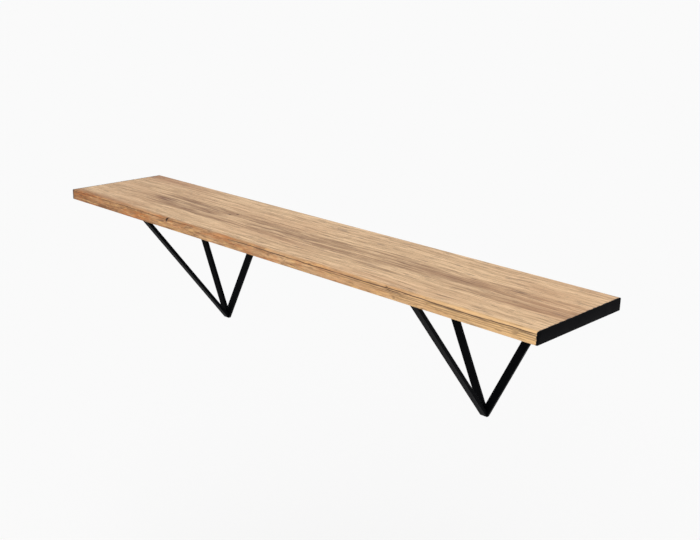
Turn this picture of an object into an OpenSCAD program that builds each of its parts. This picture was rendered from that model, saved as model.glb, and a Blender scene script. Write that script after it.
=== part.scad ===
// Wall shelf: an oak board on two welded flat-bar brackets.
// X runs along the shelf, +Y points into the wall and Z is up. The wall is the plane y = 0,
// and the origin is the middle of the board's back face. Millimetres.

/* [Board] */
// Overall length of the shelf, end bands included
shelf_l = 1400; // [900:10:2400]
// Depth of the board, from the wall to its front edge
board_d = 270; // [180:5:360]
// Thickness of the board
board_t = 25; // [18:1:40]
// Radius of the rounded top front arris
nose_r = 9.5; // [2:0.5:15]
// Radius of the eased bottom front arris and of the two back arrises
arris_r = 1.5; // [0.5:0.5:3]
// Thickness of the black band on each end
band_t = 2; // [0.5:0.5:6]

/* [Brackets] */
// Distance from the middle of the shelf to the middle of each bracket
bracket_x = 417; // [230:1:900]
// Drop from the board's underside to the point where the bars' centre lines meet
drop = 304.5; // [150:0.5:450]
// Half the spread of the V's centre lines at the board's underside
spread = 145; // [70:1:200]
// Distance from the board's front edge to the strut's centre line at the underside
strut_setback = 15.5; // [12:0.5:60]
// Width of the flat bar that a bracket is welded from
bar_w = 18; // [10:1:25]
// Thickness of that flat bar
bar_t = 8; // [5:1:10]
// Radius of the long edges of the flat bar
bar_r = 1; // [0.5:0.25:2]
// Length of the wall rail past the outer face of each bar of the V
rail_past = 9; // [5:1:30]
// Radius of a weld bead, measured from the corner that it fills
bead_r = 3.5; // [2:0.5:5]

/* [Wall screw holes] */
// Diameter of the two holes in each wall rail
wall_hole_d = 6.5; // [4:0.5:8]
// Distance between those two holes
wall_hole_pitch = 150; // [60:5:160]

/* [Board screws] */
// Number of screws through each shelf arm
board_screws_n = 3; // [2:1:4]
// Distance from each end of the shelf arm to the nearest screw
board_screw_inset = 35; // [20:1:45]
// Diameter of a board screw
screw_d = 4; // [3:0.5:5]
// Length of a board screw under its head
screw_l = 24; // [18:1:26]
// Diameter of a board screw's pan head
head_d = 8; // [7:0.5:10]
// Height of the pan head
head_h = 2.6; // [2:0.1:3.5]
// Gap all round a screw, in the arm
arm_hole_clear = 0.25; // [0.1:0.05:0.5]
// Gap all round a screw, in the board's pilot hole
pilot_clear = 0.05; // [0.02:0.01:0.1]

/* [Hidden] */

$fn = 64;
left = -1;
right = 1;
outer = 1;
inner = -1;
oak = "#c79f74";
black = "#16161a";
steel_black = "#0d0e12";
zinc = "#9a9da1";

eps = 0.01;
under_z = -board_t / 2;             // the board's underside
apex_z = under_z - drop;            // where the bars' centre lines meet
lean = atan(spread / drop);         // a V bar's angle from upright
strut_run = board_d - strut_setback - bar_t / 2;
strut_lean = atan(strut_run / drop);
foot_z = apex_z - bar_t / 2 * tan(strut_lean / 2);  // the strut's low edge, where the V is cut flat
rail_bottom_z = under_z - bar_w;
crotch_z = apex_z + bar_w / 2 / sin(lean);          // where the V's inner faces meet
// Half width between the V's outer and inner faces at the rail's underside
bar_outer_x = (rail_bottom_z - apex_z) * tan(lean) + bar_w / 2 / cos(lean);
bar_inner_x = (rail_bottom_z - apex_z) * tan(lean) - bar_w / 2 / cos(lean);
rail_l = 2 * (bar_outer_x + rail_past);
long = 2 * (board_d + drop);        // longer than any bar before it is cut

// The strut's back face, at the board's underside and at the underside of the arm
strut_back_y = bar_t / 2 / cos(strut_lean) + strut_setback - board_d;
arm_front_y = strut_back_y + bar_t * tan(strut_lean);
arm_bottom_z = under_z - bar_t;
// Where the strut's back face meets the front face of the V
strut_top_z = apex_z + bar_t / 2 / tan(strut_lean) + bar_t / 2 / sin(strut_lean);

first_screw_y = -bar_t - board_screw_inset;
last_screw_y = arm_front_y + board_screw_inset;
screw_step = (last_screw_y - first_screw_y) / (board_screws_n - 1);
screw_ys = [for (i = [0 : board_screws_n - 1]) first_screw_y + i * screw_step];

tip_h = 5;          // the pointed end of a screw
recess_l = 4.4;     // the cross recess in a screw's head
recess_w = 0.9;
recess_h = 1.4;
pilot_extra = 1;    // a pilot hole is this much deeper than its screw

// ---- outlines ----

// What is cut from a square corner to leave it round; the corner is at the origin
module corner_waste(r) {
    difference() {
        translate([-eps, -eps]) square(r + eps);
        translate([r, r]) circle(r);
    }
}

// The board's section: x is the depth, from the front edge at -board_d to the wall at 0
module board_outline() {
    difference() {
        translate([-board_d, under_z]) square([board_d, board_t]);
        translate([-board_d, -under_z]) mirror([0, 1]) corner_waste(nose_r);
        translate([-board_d, under_z]) corner_waste(arris_r);
        translate([0, under_z]) mirror([1, 0]) corner_waste(arris_r);
        translate([0, -under_z]) mirror([1, 0]) mirror([0, 1]) corner_waste(arris_r);
    }
}

// A length of the board's section along X, from x0 to x1
module board_length(x0, x1) {
    translate([x0, 0, 0]) rotate([90, 0, 90]) linear_extrude(x1 - x0) board_outline();
}

// Flat bar along Z, its wide side across X
module flat_bar(length) {
    linear_extrude(length, center = true) difference() {
        square([bar_w, bar_t], center = true);
        for (sx = [0, 1], sy = [0, 1]) mirror([sx, 0]) mirror([0, sy])
            translate([-bar_w / 2, -bar_t / 2]) corner_waste(bar_r);
    }
}

// ---- board and ends ----

module board() {
    color(oak) difference() {
        board_length(band_t - shelf_l / 2, shelf_l / 2 - band_t);
        for (side = [left, right], y = screw_ys)
            translate([side * bracket_x, y, arm_bottom_z])
                cylinder(h = screw_l + pilot_extra, d = screw_d + 2 * pilot_clear);
    }
}

module end_band(side) {
    x0 = side == left ? -shelf_l / 2 : shelf_l / 2 - band_t;
    color(black) board_length(x0, x0 + band_t);
}

// ---- bracket ----

module at_bracket(side) {
    translate([side * bracket_x, 0, 0]) children();
}

// Bar against the wall across the top of the V
module wall_rail(side) {
    color(steel_black) at_bracket(side) difference() {
        translate([0, -bar_t / 2, under_z - bar_w / 2]) rotate([0, 90, 0]) flat_bar(rail_l);
        for (s = [-1, 1])
            translate([s * wall_hole_pitch / 2, eps, under_z - bar_w / 2])
                rotate([90, 0, 0]) cylinder(h = bar_t + 2 * eps, d = wall_hole_d);
    }
}

// One bar of the V, flat on the wall, mitred against its twin and cut level at its foot
module wall_bar(side, which) {
    color(steel_black) at_bracket(side) mirror([side == which ? 0 : 1, 0, 0]) intersection() {
        translate([0, -bar_t / 2, apex_z]) rotate([0, lean, 0]) flat_bar(long);
        translate([0, -bar_t - eps, foot_z])
            cube([spread + bar_w, bar_t + 2 * eps, rail_bottom_z - foot_z]);
    }
}

// The diagonal strut, from the face of the V up to the board
module strut(side) {
    color(steel_black) at_bracket(side) intersection() {
        translate([0, -bar_t / 2, apex_z]) rotate([strut_lean, 0, 0]) flat_bar(long);
        translate([-bar_w, -board_d, foot_z - eps])
            cube([2 * bar_w, board_d - bar_t, under_z - foot_z + eps]);
    }
}

// Flat bar under the board, from the wall rail to the back face of the strut
module shelf_arm(side) {
    color(steel_black) at_bracket(side) difference() {
        translate([0, -(board_d + bar_t) / 2, under_z - bar_t / 2])
            rotate([90, 0, 0]) flat_bar(board_d - bar_t);
        // all that lies in front of the strut's back face
        translate([-bar_w, strut_back_y, under_z]) rotate([strut_lean, 0, 0])
            translate([0, -board_d, -board_d]) cube([2 * bar_w, board_d, 2 * board_d]);
        for (y = screw_ys)
            translate([0, y, arm_bottom_z - eps])
                cylinder(h = bar_t + 2 * eps, d = screw_d + 2 * arm_hole_clear);
    }
}

// Pan head wood screw pointing up, its head's seat at z = 0
module board_screw() {
    difference() {
        union() {
            cylinder(h = screw_l - tip_h, d = screw_d);
            translate([0, 0, screw_l - tip_h]) cylinder(h = tip_h, d1 = screw_d, d2 = screw_d / 8);
            translate([0, 0, -head_h]) cylinder(h = head_h, d1 = head_d * 0.72, d2 = head_d);
        }
        for (a = [0, 90]) rotate([0, 0, a])
            translate([-recess_l / 2, -recess_w / 2, -head_h - eps])
                cube([recess_l, recess_w, recess_h + eps]);
    }
}

module board_screws(side) {
    color(zinc) at_bracket(side) for (y = screw_ys)
        translate([0, y, arm_bottom_z]) board_screw();
}

// A weld bead that fills a corner of this angle: a round-faced wedge along Z, one side along +X
module bead(angle, length) {
    reach = 2 * bead_r;
    linear_extrude(length, center = true) intersection() {
        circle(bead_r);
        polygon([
            [0, 0], [reach, 0],
            reach * [cos(angle / 2), sin(angle / 2)] * 1.5,
            reach * [cos(angle), sin(angle)]
        ]);
    }
}

// The same bead laid along Y in an X-Z corner, or along X in a Y-Z corner
module bead_along_y(x, z, start, angle) {
    translate([x, -bar_t / 2, z]) rotate([90, 0, 0]) rotate([0, 0, start])
        bead(angle, bar_t - 2 * bar_r);
}

module bead_along_x(y, z, start, angle) {
    translate([0, y, z]) rotate([90, 0, 90]) rotate([0, 0, start])
        bead(angle, bar_w - 2 * bar_r);
}

module weld_beads(side) {
    color(steel_black) at_bracket(side) {
        // each bar of the V to the rail, outside and inside
        for (m = [0, 1]) mirror([m, 0, 0]) {
            bead_along_y(bar_outer_x, rail_bottom_z, -90 - lean, 90 + lean);
            bead_along_y(bar_inner_x, rail_bottom_z, 180, 90 - lean);
        }
        // the V's own crotch
        bead_along_y(0, crotch_z, 90 - lean, 2 * lean);
        // the strut to the V, the arm to the rail and the arm to the strut
        bead_along_x(-bar_t, strut_top_z, 90, strut_lean);
        bead_along_x(-bar_t, arm_bottom_z, 180, 90);
        bead_along_x(arm_front_y, arm_bottom_z, strut_lean - 90, 90 - strut_lean);
    }
}

board();
end_band(left);  // left_end_band
end_band(right);  // right_end_band
wall_rail(left);  // left_wall_rail
wall_bar(left, outer);  // left_outer_wall_bar
wall_bar(left, inner);  // left_inner_wall_bar
strut(left);  // left_strut
shelf_arm(left);  // left_shelf_arm
board_screws(left);  // left_board_screws
weld_beads(left);  // left_weld_beads
wall_rail(right);  // right_wall_rail
wall_bar(right, outer);  // right_outer_wall_bar
wall_bar(right, inner);  // right_inner_wall_bar
strut(right);  // right_strut
shelf_arm(right);  // right_shelf_arm
board_screws(right);  // right_board_screws
weld_beads(right);  // right_weld_beads
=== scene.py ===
import bpy, bmesh, math
from mathutils import Matrix, Vector, noise


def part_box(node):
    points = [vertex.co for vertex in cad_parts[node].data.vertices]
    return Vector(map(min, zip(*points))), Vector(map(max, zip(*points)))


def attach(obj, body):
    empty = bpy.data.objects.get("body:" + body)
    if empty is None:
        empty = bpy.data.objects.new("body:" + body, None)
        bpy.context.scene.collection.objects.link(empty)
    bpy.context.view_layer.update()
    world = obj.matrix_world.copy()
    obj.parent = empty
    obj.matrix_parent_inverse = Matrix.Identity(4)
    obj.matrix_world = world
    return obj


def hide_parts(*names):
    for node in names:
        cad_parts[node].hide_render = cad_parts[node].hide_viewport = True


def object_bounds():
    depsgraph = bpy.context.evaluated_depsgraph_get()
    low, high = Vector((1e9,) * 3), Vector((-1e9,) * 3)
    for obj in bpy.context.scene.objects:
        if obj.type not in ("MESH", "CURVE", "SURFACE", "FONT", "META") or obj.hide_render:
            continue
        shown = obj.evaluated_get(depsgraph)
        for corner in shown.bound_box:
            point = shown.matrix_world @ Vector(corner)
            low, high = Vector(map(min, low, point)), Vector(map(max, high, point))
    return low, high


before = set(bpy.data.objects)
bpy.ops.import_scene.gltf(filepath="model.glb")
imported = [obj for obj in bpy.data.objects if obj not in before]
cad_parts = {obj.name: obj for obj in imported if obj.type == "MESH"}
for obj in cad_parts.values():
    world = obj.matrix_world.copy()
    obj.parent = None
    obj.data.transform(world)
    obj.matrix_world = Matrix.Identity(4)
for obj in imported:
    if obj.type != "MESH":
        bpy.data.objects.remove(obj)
cad_low, cad_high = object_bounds()

# A wall shelf: an oak board with black ends on two welded flat-bar brackets.
# X runs along the shelf, +Y points into the wall and Z is up; the wall is the plane y = 0. Metres.
MM = 0.001
SIDES = ("left", "right")

board_low, board_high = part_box("board")
NOSE_RADIUS = 9.5 * MM      # the CAD's round on the board's top front arris
CRISP_NOSE = 2.5 * MM       # the same round as worn, at the left end
ROUND_NOSE = 6.5 * MM       # and at the right end
ARRIS_RADIUS = 1.5 * MM     # the other three long arrises
nose_y = board_low.y + NOSE_RADIUS      # the middle of the nose's arc
nose_z = board_high.z - NOSE_RADIUS

CELL_ALONG = 10 * MM        # the board's mesh, along the grain and across it
CELL_ACROSS = 3 * MM
NEAR = MM / 10              # how close two places count as one
MERGE = MM / 1000           # how close two points become one

CRACK_X = -0.311            # a drying crack across the nose
CHIP_X = 0.364              # a splinter lifted from the nose
PIN_KNOTS = ((-0.245, -0.138), (-0.233, -0.124))    # x and y of each


# ---------- mesh helpers ----------

def slice_up(bm, axis, start, stop, cell):
    """Cuts the mesh across one axis into strips about one cell wide"""
    count = max(1, round((stop - start) / cell))
    normal = Vector((0, 0, 0))
    normal[axis] = 1
    for i in range(1, count):
        place = normal * (start + (stop - start) * i / count)
        whole = bm.verts[:] + bm.edges[:] + bm.faces[:]
        bmesh.ops.bisect_plane(bm, geom=whole, plane_co=place, plane_no=normal)


def round_edges(bm, edges, radius, segments):
    bmesh.ops.bevel(bm, geom=edges, offset=radius, offset_type="OFFSET", segments=segments,
                    profile=0.5, affect="EDGES", material=-1)


def object_of(name, bm):
    """Makes an object of a finished bmesh, with its faces outward"""
    mesh = bpy.data.meshes.new(name)
    bmesh.ops.recalc_face_normals(bm, faces=bm.faces)
    bm.to_mesh(mesh)
    bm.free()
    ob = bpy.data.objects.new(name, mesh)
    bpy.context.scene.collection.objects.link(ob)
    return ob


def drop_folds(mesh):
    """Takes out pairs of triangles that lie back to back, which a cut can leave behind"""
    bm = bmesh.new()
    bm.from_mesh(mesh)
    bmesh.ops.triangulate(bm, faces=bm.faces)
    folds = [f for f in bm.faces if any(other is not f and set(other.verts) == set(f.verts)
                                        for edge in f.edges for other in edge.link_faces)]
    bmesh.ops.delete(bm, geom=folds, context="FACES")
    bm.to_mesh(mesh)
    bm.free()


def cut_away(ob, bm):
    """Takes a cutter's shape out of an object, for good"""
    cutter = object_of("cutter", bm)
    cut = ob.modifiers.new("cut", "BOOLEAN")
    cut.operation = "DIFFERENCE"
    cut.solver = "EXACT"
    cut.object = cutter
    bpy.context.view_layer.update()
    solid = bpy.data.meshes.new_from_object(ob.evaluated_get(bpy.context.evaluated_depsgraph_get()))
    ob.modifiers.clear()
    drop_folds(solid)
    ob.data = solid
    bpy.data.objects.remove(cutter)


def dress(ob, material, slot, crease, *stands_for):
    """Gives a piece its finish and its body, hides the CAD nodes it stands for, and makes edges past a
    crease in degrees sharp
    """
    ob.data.materials.clear()
    ob.data.materials.append(material)
    for face in ob.data.polygons:
        face.use_smooth = True
    ob.data.set_sharp_from_angle(angle=math.radians(crease))
    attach(ob, "root")
    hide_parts(*stands_for)


def loose_solids(node):
    """The corner points of each separate solid in a CAD node, in the order of the node's mesh"""
    bm = bmesh.new()
    bm.from_mesh(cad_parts[node].data)
    bmesh.ops.remove_doubles(bm, verts=bm.verts, dist=MERGE)
    solids = []
    seen = set()
    for first in bm.verts:
        if first in seen:
            continue
        seen.add(first)
        reached = [first]
        for v in reached:
            for edge in v.link_edges:
                other = edge.other_vert(v)
                if other not in seen:
                    seen.add(other)
                    reached.append(other)
        solids.append([v.co.copy() for v in reached])
    bm.free()
    return solids


# ---------- material helpers ----------

def feed(tree, socket, value):
    """Links a socket to another node's output, or gives it a plain value"""
    if isinstance(value, bpy.types.NodeSocket):
        tree.links.new(value, socket)
    else:
        socket.default_value = value


def add_node(tree, kind, inputs=(), **settings):
    """Adds a shader node with its settings, and its inputs by name or number"""
    node = tree.nodes.new("ShaderNode" + kind)
    for key, value in settings.items():
        setattr(node, key, value)
    for socket, value in dict(inputs).items():
        feed(tree, node.inputs[socket], value)
    return node


class Finish:
    """A node material, built up by calls that return output sockets"""

    def __init__(self, name):
        self.material = bpy.data.materials.new(name)
        self.material.use_nodes = True
        self.tree = self.material.node_tree
        self.place = self.add("TexCoord").outputs["Object"]
        self.x, self.y, self.z = self.add("SeparateXYZ", {0: self.place}).outputs

    def add(self, kind, inputs=(), **settings):
        return add_node(self.tree, kind, inputs, **settings)

    def calc(self, operation, a, b=0.0, c=0.0):
        """One step of arithmetic"""
        return self.add("Math", {0: a, 1: b, 2: c}, operation=operation).outputs[0]

    def times(self, first, *others):
        for value in others:
            first = self.calc("MULTIPLY", first, value)
        return first

    def plus(self, a, b):
        return self.calc("ADD", a, b)

    def minus(self, a, b):
        return self.calc("SUBTRACT", a, b)

    def largest(self, first, *others):
        for value in others:
            first = self.calc("MAXIMUM", first, value)
        return first

    def span(self, value, low, high, to_low=0.0, to_high=1.0, smooth=True):
        """Runs from to_low to to_high as the value runs from low to high"""
        kind = "SMOOTHSTEP" if smooth else "LINEAR"
        inputs = {0: value, 1: low, 2: high, 3: to_low, 4: to_high}
        return self.add("MapRange", inputs, interpolation_type=kind).outputs[0]

    def noise(self, per_metre, detail=3.0, rough=0.55, place=None, twist=0.0, shift=(0, 0, 0)):
        """Noise with its own number of repeats per metre along X, Y and Z"""
        inputs = {"Vector": place or self.place, "Scale": per_metre, "Location": shift}
        point = self.add("Mapping", inputs).outputs[0]
        inputs = {"Vector": point, "Scale": 1.0, "Detail": detail, "Roughness": rough, "Distortion": twist}
        return self.add("TexNoise", inputs).outputs[0]

    def mix(self, share, a, b):
        """Goes from colour a to colour b as the share goes from 0 to 1"""
        return self.add("Mix", {0: share, 6: a, 7: b}, data_type="RGBA").outputs[2]

    def finish(self, color, rough, height, depth, specular=0.5, metal=0.0):
        """Joins it all at the surface, with bumps of the given depth, and returns the material"""
        bump = self.add("Bump", {"Height": height, "Distance": depth, "Strength": 1.0})
        surface = self.tree.nodes["Principled BSDF"]
        inputs = {"Base Color": color, "Roughness": rough, "Normal": bump.outputs[0],
                  "Specular IOR Level": specular, "Metallic": metal}
        for socket, value in inputs.items():
            feed(self.tree, surface.inputs[socket], value)
        return self.material


def srgb(red, green, blue):
    """A colour written as 0 to 255 display values"""
    def linear(level):
        level /= 255
        return level / 12.92 if level <= 0.04045 else ((level + 0.055) / 1.055) ** 2.4
    return (linear(red), linear(green), linear(blue), 1.0)


# ---------- materials ----------

PALE_OAK = srgb(252, 214, 167)
BROWN_OAK = srgb(118, 77, 44)
GREY_OAK = srgb(100, 72, 49)
RED_OAK = srgb(170, 104, 64)
# this brown also paints the shade in the crack and the shadow under the chip
PORE_AND_SHADE_BROWN = srgb(62, 36, 20)
TAN_AND_SHADE_BROWN = srgb(184, 113, 24)
OCHRE = srgb(238, 190, 124)
EMBER = srgb(194, 106, 26)
SCORCH = srgb(100, 60, 24)
BLACK_STAIN = srgb(24, 22, 24)

# Heart figure in the middle of the board: x, y, half length, half width, turn in degrees, strength
HEART_CLOUDS = (
    (-0.465, -0.154, 0.060, 0.013, 4, 1.20),
    (-0.370, -0.128, 0.085, 0.010, 3, 1.00),
    (-0.325, -0.156, 0.075, 0.013, 8, 1.15),
    (-0.360, -0.180, 0.120, 0.010, 7, 1.05),
    (-0.370, -0.158, 0.180, 0.042, 4, 0.32),
    (-0.120, -0.162, 0.070, 0.018, 0, 0.60),
    (-0.010, -0.150, 0.095, 0.015, -2, 0.85),
    (-0.070, -0.190, 0.150, 0.008, 2, 0.60),
    (0.170, -0.174, 0.130, 0.009, 3, 0.65),
    (0.180, -0.134, 0.130, 0.009, 0, 0.40),
    (0.390, -0.142, 0.140, 0.030, 0, 0.70),
    (0.440, -0.126, 0.070, 0.010, 0, 0.75),
    (0.270, -0.197, 0.150, 0.007, 1, 0.50),
    (0.600, -0.168, 0.120, 0.022, -2, 0.50),
)
# Dark lines along the nose: height over the middle of the nose's arc, where they start and end, strength
NOSE_LINES = (
    (6.5 * MM, -0.74, -0.20, 0.65),
    (4.5 * MM, -0.12, 0.72, 1.00),
    # this short line under the chip is a painted shadow beneath the lifted splinter
    (2.0 * MM, 0.34, 0.42, 1.00),
    (2.0 * MM, 0.44, 0.80, 0.85),
    (0.5 * MM, 0.16, 0.80, 0.60),
    (-3.0 * MM, 0.30, 0.80, 0.50),
    (-7.0 * MM, 0.36, 0.80, 0.40),
)
# The grain from coarse to fine: repeats per metre along and across it, detail, roughness, and the stretch
# of the noise that shows
GRAIN_LAYERS = {
    "streaks": (2.2, 75, 4, 0.60, 0.36, 0.64),
    "fibres": (6, 190, 4, 0.62, 0.36, 0.64),
    "threads": (14, 600, 4, 0.65, 0.33, 0.67),
    "hairs": (45, 1900, 3, 0.70, 0.30, 0.74),
    "dashes": (17, 270, 2, 0.50, 0.60, 0.69),
    "pores": (110, 2600, 2, 0.55, 0.60, 0.72),
}
# Patches on the front face: repeats per metre along X, Y and Z, roughness, shift, the stretch of the noise
# that shows, strength, colour, and whether they fade to the right
FACE_PATCHES = (
    ((14, 60, 75), 0.65, (3, 1, 2), 0.46, 0.62, 0.62, EMBER, True),
    ((24, 80, 130), 0.70, (1, 5, 9), 0.50, 0.63, 0.72, SCORCH, True),
    ((30, 90, 150), 0.70, (6, 2, 4), 0.52, 0.66, 0.55, OCHRE, False),
)
TONE_WEIGHTS = {"streaks": 0.15, "fibres": 0.31, "threads": 0.38, "hairs": 0.14, "rings": 0.08}
PITH_Y = -0.150             # where the pith lies across the board
RING_WIDTH = 7 * MM
LIGHTER = 0.055             # taken off the grain's tone all over
CRACK_LEAN = 0.25           # how far the crack goes along the board for its depth
KNOT_HALF_LENGTH = 4.5 * MM
KNOT_HALF_WIDTH = 4.0 * MM


def cloud(f, x, y, half_length, half_width, turn, strength):
    """A soft-edged patch drawn out along the grain"""
    inputs = {"Vector": f.place, "Location": (-x, -y, 0)}
    point = f.add("Mapping", inputs).outputs[0]
    inputs = {"Vector": point, "Rotation": (0, 0, math.radians(turn)), "Scale": (1, 1, 0)}
    point = f.add("Mapping", inputs).outputs[0]
    inputs = {"Vector": point, "Scale": (1 / half_length, 1 / half_width, 0)}
    point = f.add("Mapping", inputs).outputs[0]
    reach = f.add("VectorMath", {0: point}, operation="LENGTH").outputs["Value"]
    return f.span(reach, 0.25, 1.35, strength, 0.0)


def nose_line(f, number, height, start, stop, strength):
    """A thin wavering line along the nose, broken here and there"""
    sway = f.noise((5, 0, 0), detail=4, shift=(number * 3.7, 0, 0))
    sway = f.span(sway, 0, 1, -5 * MM, 5 * MM, smooth=False)
    off = f.calc("ABSOLUTE", f.minus(f.z, f.plus(sway, nose_z + height)))
    line = f.span(off, 0.4 * MM, 1.4 * MM, strength, 0.0)
    gaps = f.span(f.noise((9, 0, 0), detail=3, shift=(number * 5.3, 2, 0)), 0.28, 0.50, 0.25, 1.0)
    fade = f.times(f.span(f.x, start, start + 0.04), f.span(f.x, stop - 0.04, stop, 1.0, 0.0))
    return f.times(line, f.times(gaps, fade))


def crack_painted_shade(f):
    """Painted shade in and beside the crack, and nowhere else"""
    lean = f.times(f.minus(f.z, board_high.z), CRACK_LEAN)
    off = f.calc("ABSOLUTE", f.minus(f.x, f.plus(lean, CRACK_X)))
    reach = f.plus(f.minus(board_high.z, f.z), f.minus(f.y, board_low.y))
    near_crack = f.span(off, 1.8 * MM, 4.0 * MM, 1.0, 0.0)
    near_nose = f.span(reach, 5 * MM, 13 * MM, 1.0, 0.0)
    return f.times(near_crack, near_nose)


def grain_place(f):
    """The place in the grain, which wanders a little from the board's edges"""
    wander = f.span(f.noise((1.7, 0, 0), detail=1), 0, 1, -0.030, 0.030, smooth=False)
    waver = f.span(f.noise((9, 14, 14), detail=2), 0, 1, -0.006, 0.006, smooth=False)
    shift = f.add("CombineXYZ", {1: f.plus(wander, waver)}).outputs[0]
    return f.add("VectorMath", {0: f.place, 1: shift}, operation="ADD").outputs[0]


def grain_layer(f, grain, along, across, detail, rough, low, high):
    """One of the layers of the table above"""
    return f.span(f.noise((along, across, across), detail=detail, rough=rough, place=grain), low, high)


def growth_rings(f, across, gz):
    """Rings round a pith below the middle of the board, dark where the wood grew late in the year"""
    pith_depth = f.span(f.noise((0.9, 0, 0), detail=2, shift=(3.1, 0, 0)), 0.3, 0.7, 0.040, 0.080)
    down = f.plus(gz, pith_depth)
    radius = f.calc("SQRT", f.plus(f.times(across, across), f.times(down, down)))
    uneven = f.span(f.noise((2.5, 30, 30), detail=3), 0, 1, -0.008, 0.008, smooth=False)
    turn = f.calc("FRACT", f.calc("DIVIDE", f.plus(radius, uneven), RING_WIDTH))
    late = f.times(f.span(turn, 0.25, 0.90), f.span(turn, 0.92, 1.0, 1.0, 0.0))
    return f.times(late, f.span(f.noise((4, 22, 22), detail=2), 0.35, 0.65, 0.20, 1.0))


def heart_figure(f, grain):
    """The heart clouds, torn up along the grain"""
    clouds = f.largest(*[cloud(f, *spec) for spec in HEART_CLOUDS])
    torn = f.noise((8, 130, 130), detail=5, rough=0.65, place=grain, twist=0.4)
    return f.times(clouds, f.span(torn, 0.36, 0.60, 0.28, 1.25))


def heart_core(f, across, fibres):
    """The core of the board is darker than its flanks, less so at the left end"""
    core = f.span(f.calc("ABSOLUTE", across), 0.018, 0.062, 0.16, 0.0)
    core = f.times(core, f.span(f.x, -0.60, -0.44, 0.15, 1.0))
    return f.times(core, f.span(fibres, 0, 1, 0.40, 1.55, smooth=False))


def tan_and_painted_front_shade(f, grain):
    """How much the front edge has tanned, partly a painted shade of the side-lit front face: most on the
    left, where it reaches back over the top
    """
    reach = f.span(f.x, -0.70, -0.10, 32 * MM, 9 * MM)
    edge = f.span(f.minus(f.y, board_low.y), f.times(reach, 0.20), reach, 1.0, 0.0)
    fade = f.span(f.x, -0.70, 0.70, 1.0, 0.06, smooth=False)
    mottle = f.span(f.noise((16, 120, 120), detail=3, rough=0.6, place=grain), 0.30, 0.70, 0.62, 1.0)
    return f.times(edge, fade, mottle)


def mottled_face(f, color):
    """The front face has orange and dark patches, less so to the right, where it goes to ochre"""
    face = f.span(f.y, board_low.y + 9 * MM, board_low.y + 2 * MM)
    fading = f.times(face, f.span(f.x, -0.70, 0.70, 1.0, 0.12, smooth=False))
    for per_metre, rough, shift, low, high, strength, patch_color, fades in FACE_PATCHES:
        patches = f.span(f.noise(per_metre, detail=4, rough=rough, shift=shift), low, high, 0.0, strength)
        color = f.mix(f.times(fading if fades else face, patches), color, patch_color)
    return f.mix(f.times(face, f.span(f.x, 0.0, 0.70, 0.0, 0.45)), color, OCHRE)


def drifting_hue(f, color):
    """Slow drifts of hue, greyer to the left and redder in the back left corner"""
    drift = f.span(f.noise((2.5, 9, 9), detail=2, shift=(7, 0, 0)), 0.42, 0.75, 0.0, 0.22)
    color = f.mix(drift, color, RED_OAK)
    color = f.mix(f.span(f.x, -0.75, 0.35, 0.10, 0.0, smooth=False), color, GREY_OAK)
    corner = f.times(f.span(f.x, -0.68, -0.36, 0.55, 0.0), f.span(f.y, -0.090, -0.005))
    return f.mix(corner, color, f.mix(0.5, RED_OAK, BROWN_OAK))


def dark_marks_and_painted_shade(f, grain, dashes, pores):
    """Pores and ticks in the grain, lines along the nose with one a painted shadow under the chip, painted
    shade in the crack, and the stains of the pin knots
    """
    dashes = f.times(dashes, f.span(f.noise((3, 12, 12), detail=1), 0.40, 0.60, 0.25, 1.0))
    ticks = f.noise((34, 430, 430), detail=2, rough=0.5, place=grain, shift=(4, 4, 4))
    ticks = f.span(ticks, 0.60, 0.67)
    front = f.span(f.y, board_low.y + 8 * MM, board_low.y + 5 * MM)
    lines = f.largest(*[nose_line(f, i, *spec) for i, spec in enumerate(NOSE_LINES)])
    knots = f.largest(*[cloud(f, x, y, KNOT_HALF_LENGTH, KNOT_HALF_WIDTH, 0, 1.0) for x, y in PIN_KNOTS])
    knots = f.times(knots, f.span(f.z, 0, board_high.z - MM))
    return f.largest(f.times(dashes, 0.62), f.times(ticks, 0.52), f.times(pores, 0.30), knots,
                     crack_painted_shade(f), f.times(lines, front, 0.95))


def end_stain(f):
    """Black from the ends has crept a little way into the grain"""
    uneven = f.span(f.noise((0, 130, 130), detail=2), 0.35, 0.65, 0, 1.6 * MM)
    end = f.plus(f.calc("ABSOLUTE", f.x), uneven)
    return f.span(end, board_high.x - 0.4 * MM, board_high.x + 0.2 * MM)


def oak():
    """Oiled solid oak: growth rings, fibres and pores along X, a heart figure, and a tanned front edge
    that partly paints the shade of the side-lit front face
    """
    f = Finish("oak")
    grain = grain_place(f)
    gy, gz = f.add("SeparateXYZ", {0: grain}).outputs[1:3]
    across = f.minus(gy, PITH_Y)
    layer = {name: grain_layer(f, grain, *spec) for name, spec in GRAIN_LAYERS.items()}
    layer["rings"] = growth_rings(f, across, gz)

    tone = heart_core(f, across, layer["fibres"])
    for name, weight in TONE_WEIGHTS.items():
        tone = f.calc("MULTIPLY_ADD", layer[name], weight, tone)
    tone = f.times(f.minus(tone, LIGHTER), f.span(f.x, -0.30, 0.70, 1.0, 0.84, smooth=False))

    marks_and_shade = dark_marks_and_painted_shade(f, grain, layer["dashes"], layer["pores"])
    # the front edge's tan, partly a painted shade of the side-lit front face
    color = f.mix(tone, f.mix(tan_and_painted_front_shade(f, grain), PALE_OAK, TAN_AND_SHADE_BROWN), BROWN_OAK)
    color = f.mix(f.times(heart_figure(f, grain), 0.70), color, BROWN_OAK)
    color = drifting_hue(f, mottled_face(f, color))
    # pores, ticks, knots and nose lines, with the painted shade of the crack and the painted shadow under
    # the chip
    color = f.mix(marks_and_shade, color, PORE_AND_SHADE_BROWN)
    color = f.mix(end_stain(f), color, BLACK_STAIN)

    height = f.calc("MULTIPLY_ADD", layer["fibres"], 0.45, f.times(layer["hairs"], 0.30))
    height = f.calc("MULTIPLY_ADD", marks_and_shade, 0.8, height)
    rough = f.span(tone, 0.0, 0.7, 0.50, 0.64)
    return f.finish(color, rough, f.minus(1.0, height), 0.12 * MM, specular=0.45)


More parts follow.
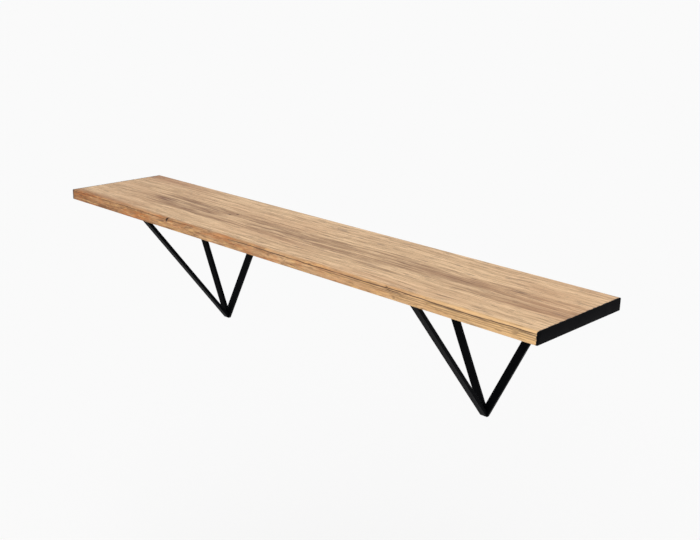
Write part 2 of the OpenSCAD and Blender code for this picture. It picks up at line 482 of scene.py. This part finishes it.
def powder_coat():
    """Matte black powder coat with its fine pebbled skin"""
    f = Finish("powder_coat")
    pebble = f.noise((1300, 1300, 1300), detail=2, rough=0.5)
    swell = f.noise((160, 160, 160), detail=2)
    dust = f.noise((28, 28, 28), detail=4, rough=0.65)
    color = f.mix(f.span(dust, 0.35, 0.75), srgb(1, 2, 4), srgb(5, 6, 9))
    rough = f.span(pebble, 0.3, 0.7, 0.46, 0.60)
    height = f.calc("MULTIPLY_ADD", swell, 0.5, pebble)
    return f.finish(color, rough, height, 0.02 * MM, specular=0.03)


def black_band():
    """Satin black edging with fine sanding lines and the odd rubbed spot"""
    f = Finish("black_band")
    lines = f.noise((900, 40, 900), detail=3, rough=0.6)
    cloudy = f.noise((30, 30, 60), detail=4, rough=0.6)
    color = f.mix(f.span(cloudy, 0.3, 0.75), srgb(2, 2, 4), srgb(8, 8, 11))
    rough = f.span(cloudy, 0.3, 0.7, 0.42, 0.56)
    return f.finish(color, rough, lines, 0.05 * MM, specular=0.02)


def zinc():
    """Zinc-plated steel, a little clouded"""
    f = Finish("zinc")
    cloudy = f.noise((420, 420, 420), detail=4, rough=0.6)
    scratch = f.noise((2500, 300, 2500), detail=2)
    color = f.mix(f.span(cloudy, 0.3, 0.7), srgb(186, 190, 196), srgb(214, 212, 204))
    rough = f.span(scratch, 0.3, 0.7, 0.26, 0.42)
    return f.finish(color, rough, scratch, 0.03 * MM, metal=1.0)


# ---------- board and ends ----------

ARRIS_SEGMENTS = 3
NOSE_SEGMENTS = 10


def board_length(low, high):
    """A length of the board's section, from one corner to the other"""
    bm = bmesh.new()
    place = Matrix.Translation((low + high) / 2) @ Matrix.Diagonal((*(high - low), 1))
    bmesh.ops.create_cube(bm, size=1, matrix=place)
    long_edges = [e for e in bm.edges if abs(e.verts[0].co.x - e.verts[1].co.x) > (high.x - low.x) / 2]
    nose = [e for e in long_edges if e.verts[0].co.y < nose_y and e.verts[0].co.z > nose_z]
    arrises = [e for e in long_edges if e not in nose]
    round_edges(bm, arrises, ARRIS_RADIUS, ARRIS_SEGMENTS)
    nose = [e for e in bm.edges
            if all(abs(v.co.y - low.y) < NEAR and abs(v.co.z - high.z) < NEAR for v in e.verts)]
    round_edges(bm, nose, NOSE_RADIUS, NOSE_SEGMENTS)
    return bm


def worn_radius(x):
    """The nose's radius at a place along the board"""
    share = (x - cad_low.x) / (cad_high.x - cad_low.x)
    return CRISP_NOSE + (ROUND_NOSE - CRISP_NOSE) * share ** 2


def wear_nose(bm):
    """Gives the nose its own radius at each place along the board"""
    for v in bm.verts:
        if v.co.y < nose_y + NEAR and v.co.z > nose_z - NEAR:
            share = worn_radius(v.co.x) / NOSE_RADIUS
            v.co.y = board_low.y + (v.co.y - board_low.y) * share
            v.co.z = board_high.z + (v.co.z - board_high.z) * share


GRAIN_WEAR = 0.16 * MM      # how deep the grain, broad waves and knocks on the nose go at most
BROAD_WEAR = 0.14 * MM
KNOCK_WEAR = 1.0 * MM


def wear(co):
    """How far the finished surface lies under the sawn one at a point"""
    grain = 0.5 + 0.5 * noise.noise(Vector((co.x * 12, co.y * 170, co.z * 170)))
    broad = 0.5 + 0.5 * noise.noise(Vector((co.x * 3, co.y * 14, 7.0)))
    depth = GRAIN_WEAR * grain + BROAD_WEAR * broad
    radius = worn_radius(co.x)
    if co.y < board_low.y + radius and co.z > board_high.z - radius:
        knock = 0.5 + 0.5 * noise.fractal(Vector((co.x * 16, 3.0, 1.0)), 0.8, 2.0, 4)
        depth += KNOCK_WEAR * knock ** 2
    return depth


def press_in(bm, depth_at):
    """Moves the long faces in by a depth that varies from place to place, and the ends not at all"""
    bm.normal_update()
    for v in bm.verts:
        inward = -v.normal
        inward.x = 0
        v.co += inward * depth_at(v.co)


def crack_cutter():
    """A thin leaning wedge that opens at the nose and closes inside the board"""
    half_width, half_height, length = 3.0 * MM, 10 * MM, 20 * MM
    bm = bmesh.new()
    bmesh.ops.create_cone(bm, cap_ends=True, segments=4, radius1=1, radius2=0.02, depth=1)
    bmesh.ops.scale(bm, vec=(half_width, half_height, length), verts=bm.verts)
    for axis, degrees in (("X", -130), ("Z", 12)):
        turn = Matrix.Rotation(math.radians(degrees), 3, axis)
        bmesh.ops.rotate(bm, cent=(0, 0, 0), matrix=turn, verts=bm.verts)
    bmesh.ops.translate(bm, vec=(CRACK_X, board_low.y + 4 * MM, board_high.z - 4 * MM), verts=bm.verts)
    return bm


def chip_cutter():
    """A shallow shell-shaped scoop along the nose, where a splinter has lifted"""
    half_length, half_depth, half_height = 9 * MM, 2.6 * MM, 2.2 * MM
    turn = Matrix.Rotation(math.radians(30), 3, "Y")
    bm = bmesh.new()
    bmesh.ops.create_icosphere(bm, subdivisions=3, radius=1)
    bmesh.ops.scale(bm, vec=(half_length, half_depth, half_height), verts=bm.verts)
    bmesh.ops.rotate(bm, cent=(0, 0, 0), matrix=turn, verts=bm.verts)
    bmesh.ops.translate(bm, vec=(CHIP_X, board_low.y + 1.5 * MM, board_high.z - 5 * MM), verts=bm.verts)
    return bm


def pin_knot_cutter(x, y):
    """A pinhead pit in the top"""
    half_length, half_width, depth = 3.2 * MM, 2.0 * MM, 1.2 * MM
    bm = bmesh.new()
    bmesh.ops.create_icosphere(bm, subdivisions=2, radius=1)
    bmesh.ops.scale(bm, vec=(half_length, half_width, depth), verts=bm.verts)
    bmesh.ops.translate(bm, vec=(x, y, board_high.z - 0.1 * MM), verts=bm.verts)
    return bm


def oak_board(material):
    """The board, sliced fine, worn all over, and cut by its crack, chip and pin knots"""
    bm = board_length(board_low, board_high)
    slice_up(bm, 0, board_low.x, board_high.x, CELL_ALONG)
    slice_up(bm, 1, nose_y, board_high.y - ARRIS_RADIUS, CELL_ACROSS)
    slice_up(bm, 2, board_low.z + ARRIS_RADIUS, nose_z, CELL_ACROSS)
    wear_nose(bm)
    press_in(bm, wear)
    board = object_of("oak_board", bm)
    cutters = [crack_cutter(), chip_cutter()] + [pin_knot_cutter(x, y) for x, y in PIN_KNOTS]
    for cutter in cutters:
        cut_away(board, cutter)
    dress(board, material, "oak", 40, "board")


BAND_RIM = 0.6 * MM         # the round on a band's outer rim
BAND_RIM_SEGMENTS = 3
BAND_WEAR = 0.25 * MM


def end_band(side, material):
    """The black band on one end, on the same worn section as the board"""
    node = side + "_end_band"
    low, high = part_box(node)
    outer_x = low.x if side == "left" else high.x
    bm = board_length(low, high)
    rim = [e for e in bm.edges if all(abs(v.co.x - outer_x) < NEAR for v in e.verts)]
    round_edges(bm, rim, BAND_RIM, BAND_RIM_SEGMENTS)
    slice_up(bm, 1, nose_y, high.y - ARRIS_RADIUS, CELL_ACROSS)
    wear_nose(bm)

    def band_wear(co):
        place = Vector((side == "left", co.y * 90, co.z * 90))
        return BAND_WEAR * (0.5 + 0.5 * noise.noise(place))

    press_in(bm, band_wear)
    dress(object_of(side + "_black_band", bm), material, "end_band", 40, node)


# ---------- brackets ----------

RIPPLE_PITCH = 1.1 * MM     # from one scale of a bead to the next
SCALE_STEPS = 4             # rings of points to a scale
ARC_STEPS = 8


def ripple(step, steps):
    """Size of a weld bead along its run: overlapping scales, drawn in at both ends"""
    t = (step % SCALE_STEPS) / SCALE_STEPS
    scale = 0.84 + 0.16 * math.sqrt(1 - (1 - t) ** 2)
    end = min(step, steps - step) / 3
    return scale * min(1.0, 0.55 + 0.45 * end)


def rippled_welds(side, material):
    """All the beads of one bracket"""
    node = side + "_weld_beads"
    bm = bmesh.new()
    for points in loose_solids(node):
        lay_bead(bm, points)
    dress(object_of(side + "_rippled_welds", bm), material, "powder_coated_steel", 50, node)


def bead_section(section):
    """The wedge's corner between the two bars, and its two legs out along them"""
    def unevenness(corner):
        reaches = [(p - corner).length for p in section if p != corner]
        return max(reaches) - min(reaches)

    corner = min(section, key=unevenness)
    legs = [p - corner for p in section if p != corner]
    first, last = max(((a, b) for a in legs for b in legs), key=lambda pair: pair[0].angle(pair[1]))
    return corner, first, last


def lay_bead(bm, points):
    """A rippled bead where the plain wedge lies: its section is a corner with an arc round it"""
    axis = 0 if len({round(p.x, 6) for p in points}) == 2 else 1
    start = min(p[axis] for p in points)
    stop = max(p[axis] for p in points)
    corner, first, last = bead_section([p for p in points if abs(p[axis] - start) < NEAR])
    turn = first.cross(last).normalized()
    sweep = first.angle(last)
    ring = [bm.verts.new(corner)]
    for i in range(ARC_STEPS + 1):
        arm = first.copy()
        arm.rotate(Matrix.Rotation(sweep * i / ARC_STEPS, 3, turn))
        ring.append(bm.verts.new(corner + arm))
    face = bm.faces.new(ring)

    # the section moves along the run and swells and shrinks, and leaves no cap inside
    steps = SCALE_STEPS * max(3, round((stop - start) / RIPPLE_PITCH))
    stride = Vector((0, 0, 0))
    stride[axis] = (stop - start) / steps
    size = 1.0
    for i in range(steps + 1):
        if i:
            made = bmesh.ops.extrude_face_region(bm, geom=[face])
            if i > 1:
                bmesh.ops.delete(bm, geom=[face], context="FACES_ONLY")
            face = next(g for g in made["geom"] if isinstance(g, bmesh.types.BMFace))
            bmesh.ops.translate(bm, vec=stride, verts=face.verts)
        about = Matrix.Translation(-(corner + stride * i))
        growth = ripple(i, steps) / size
        bmesh.ops.scale(bm, vec=(growth, growth, growth), space=about, verts=face.verts)
        size = ripple(i, steps)


HEAD_HEIGHT = 2.6 * MM
HEAD_RADIUS = 4 * MM
SCREW_CORE = 1.45 * MM      # radius at the foot of the thread
SCREW_POINT = 5 * MM        # length of the point
PLAIN_SHANK = 6 * MM        # from the head to the start of the thread
THREAD_RADIUS = 2 * MM
THREAD_THICKNESS = 0.9 * MM
THREAD_PITCH = 1.8 * MM
THREAD_TURNS = 8
TURN_STEPS = 16


def cross_cutter(x, y, low_z):
    """A tapered cross that goes into a screw's head, turned as the screw happened to stop"""
    reach, half_width, half_height = 2.2 * MM, 0.45 * MM, 1.4 * MM
    turn = Matrix.Rotation(0.3 + 40 * y, 3, "Z")
    squeeze = 3 * half_width / reach
    bm = bmesh.new()
    bmesh.ops.create_grid(bm, x_segments=3, y_segments=3, size=reach)
    corners = [f for f in bm.faces if min(abs(c) for c in f.calc_center_median().xy) > reach / 3]
    bmesh.ops.delete(bm, geom=corners, context="FACES")
    for axis, factors in ((0, (squeeze, 1, 1)), (1, (1, squeeze, 1))):
        inner = [v for v in bm.verts if abs(v.co[axis]) < reach / 2]
        bmesh.ops.scale(bm, vec=factors, verts=inner)
    bmesh.ops.translate(bm, vec=(0, 0, -half_height), verts=bm.verts)
    made = bmesh.ops.extrude_face_region(bm, geom=bm.faces[:])
    point = [g for g in made["geom"] if isinstance(g, bmesh.types.BMVert)]
    bmesh.ops.translate(bm, vec=(0, 0, 2 * half_height), verts=point)
    bmesh.ops.scale(bm, vec=(0.55, 0.55, 1), verts=point)
    bmesh.ops.rotate(bm, cent=(0, 0, 0), matrix=turn, verts=bm.verts)
    bmesh.ops.translate(bm, vec=(x, y, low_z), verts=bm.verts)
    return bm


def add_screw(bm, x, y, low_z, high_z):
    """A pan head wood screw, point up, with its cross recess and its thread"""
    seat = low_z + HEAD_HEIGHT
    outline = [(0, low_z)]
    for share_out, share_up in ((0.45, 0.10), (0.75, 0.28), (0.94, 0.58), (1, 0.85), (1, 1)):
        outline.append((share_out * HEAD_RADIUS, low_z + share_up * HEAD_HEIGHT))
    outline += [(SCREW_CORE, seat), (SCREW_CORE, high_z - SCREW_POINT), (0, high_z)]
    solid = bmesh.new()
    verts = [solid.verts.new((r, 0, z)) for r, z in outline]
    edges = [solid.edges.new(pair) for pair in zip(verts, verts[1:])]
    bmesh.ops.spin(solid, geom=verts + edges, cent=(0, 0, 0), axis=(0, 0, 1), angle=2 * math.pi,
                   steps=24, use_merge=True)
    bmesh.ops.remove_doubles(solid, verts=solid.verts, dist=MERGE)
    bmesh.ops.translate(solid, vec=(x, y, 0), verts=solid.verts)
    screw = object_of("screw", solid)
    cut_away(screw, cross_cutter(x, y, low_z))
    bm.from_mesh(screw.data)
    bpy.data.objects.remove(screw)

    inner = SCREW_CORE * 0.9
    section = ((inner, 0), (THREAD_RADIUS, THREAD_THICKNESS / 2), (inner, THREAD_THICKNESS))
    thread = bm.faces.new([bm.verts.new((x + r, y, seat + PLAIN_SHANK + z)) for r, z in section])
    bmesh.ops.spin(bm, geom=[thread], cent=(x, y, 0), axis=(0, 0, 1), angle=2 * math.pi * THREAD_TURNS,
                   steps=TURN_STEPS * THREAD_TURNS, dvec=(0, 0, THREAD_PITCH / TURN_STEPS))


def board_screws(side, material):
    """The screws that go up through one shelf arm into the board"""
    node = side + "_board_screws"
    low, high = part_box(node)
    bm = bmesh.new()
    for points in loose_solids(node):
        x = (min(p.x for p in points) + max(p.x for p in points)) / 2
        y = (min(p.y for p in points) + max(p.y for p in points)) / 2
        add_screw(bm, x, y, low.z, high.z)
    dress(object_of(side + "_pan_head_screws", bm), material, "zinc_plated_steel", 35, node)


def coat_bars(material):
    """The flat bars keep their CAD shape and take the powder coat"""
    for side in SIDES:
        for bar in ("wall_rail", "outer_wall_bar", "inner_wall_bar", "strut", "shelf_arm"):
            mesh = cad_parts[side + "_" + bar].data
            mesh.materials.clear()
            mesh.materials.append(material)


# ---------- studio ----------

FLOOR_Z = -1.4
FLOOR_HALF_WIDTH = 60
FLOOR_PAINT = 0.88      # the floor as light that bounces sees it
BACKGROUND = 0.948      # how bright the floor and the backdrop look
FLOOR_SHARE = 0.40      # the part of the floor's brightness that takes shadows
WHITE = (1, 1, 1, 1)


def seen_directly(tree):
    """1 for rays from the camera, in reflections and through glass, and 0 for light that bounces"""
    rays = add_node(tree, "LightPath").outputs
    seen = rays["Is Camera Ray"]
    for other in ("Is Glossy Ray", "Is Transmission Ray"):
        seen = add_node(tree, "Math", {0: seen, 1: rays[other]}, operation="MAXIMUM").outputs[0]
    return seen


def pale_floor():
    """A wide pale floor that looks as bright as the backdrop and keeps the shelf's shadow"""
    material = bpy.data.materials.new("pale_floor")
    material.use_nodes = True
    tree = material.node_tree
    tree.nodes.remove(tree.nodes["Principled BSDF"])
    paint = add_node(tree, "BsdfDiffuse", {"Color": (FLOOR_PAINT,) * 3 + (1,)})
    shaded = add_node(tree, "BsdfDiffuse", {"Color": (BACKGROUND * FLOOR_SHARE,) * 3 + (1,)})
    glow = add_node(tree, "Emission", {"Color": WHITE, "Strength": BACKGROUND * (1 - FLOOR_SHARE)})
    both = add_node(tree, "AddShader", {0: shaded.outputs[0], 1: glow.outputs[0]})
    look = add_node(tree, "MixShader", {0: seen_directly(tree), 1: paint.outputs[0], 2: both.outputs[0]})
    tree.links.new(look.outputs[0], tree.nodes["Material Output"].inputs["Surface"])
    bm = bmesh.new()
    bmesh.ops.create_grid(bm, x_segments=1, y_segments=1, size=FLOOR_HALF_WIDTH)
    bmesh.ops.translate(bm, vec=(0, 0, FLOOR_Z), verts=bm.verts)
    floor = object_of("floor", bm)
    floor.data.materials.append(material)


WORLD_LEVEL = 0.62
KEY_LEVEL = 0.52 * math.pi
KEY_FROM = Vector((0.35, -0.75, 1.0))
KEY_SOFTNESS = 50       # degrees


def studio():
    """Soft white light from all round, and a wide key light from the front right"""
    world = bpy.data.worlds.new("studio")
    bpy.context.scene.world = world
    world.use_nodes = True
    tree = world.node_tree
    levels = {0: seen_directly(tree), 3: WORLD_LEVEL, 4: BACKGROUND}
    backdrop = tree.nodes["Background"]
    feed(tree, backdrop.inputs["Strength"], add_node(tree, "MapRange", levels).outputs[0])
    feed(tree, backdrop.inputs["Color"], WHITE)
    data = bpy.data.lights.new("key", "SUN")
    data.energy = KEY_LEVEL
    data.angle = math.radians(KEY_SOFTNESS)
    key = bpy.data.objects.new("key", data)
    bpy.context.scene.collection.objects.link(key)
    key.matrix_world = KEY_FROM.to_track_quat("Z", "Y").to_matrix().to_4x4()


CAMERA_AT = Vector((1.6008, -1.6910, 0.6190))
CAMERA_AZIMUTH = 43.17      # degrees
CAMERA_ELEVATION = 17.05
CAMERA_ROLL = 1.51
CAMERA_LENS = 54.42         # millimetres
SENSOR_WIDTH = 36


def camera():
    """Looks at the shelf from the front right and a little above"""
    azimuth = math.radians(CAMERA_AZIMUTH)
    elevation = math.radians(CAMERA_ELEVATION)
    roll = math.radians(CAMERA_ROLL)
    level = math.cos(elevation)
    ahead = Vector((-math.sin(azimuth) * level, math.cos(azimuth) * level, -math.sin(elevation)))
    side = ahead.cross(Vector((0, 0, 1))).normalized()
    up = side.cross(ahead)
    right = math.cos(roll) * side + math.sin(roll) * up
    over = math.cos(roll) * up - math.sin(roll) * side
    data = bpy.data.cameras.new("camera")
    data.sensor_width = SENSOR_WIDTH
    data.lens = CAMERA_LENS
    ob = bpy.data.objects.new("camera", data)
    bpy.context.scene.collection.objects.link(ob)
    turned = Matrix((right, over, -ahead)).transposed().to_4x4()
    ob.matrix_world = Matrix.Translation(CAMERA_AT) @ turned
    bpy.context.scene.camera = ob


# ---------- put together ----------

camera()
oak_board(oak())
band_finish = black_band()
coat = powder_coat()
screw_finish = zinc()
coat_bars(coat)
for side in SIDES:
    end_band(side, band_finish)
    rippled_welds(side, coat)
    board_screws(side, screw_finish)
pale_floor()
studio()
bpy.context.scene.view_settings.view_transform = "Standard"
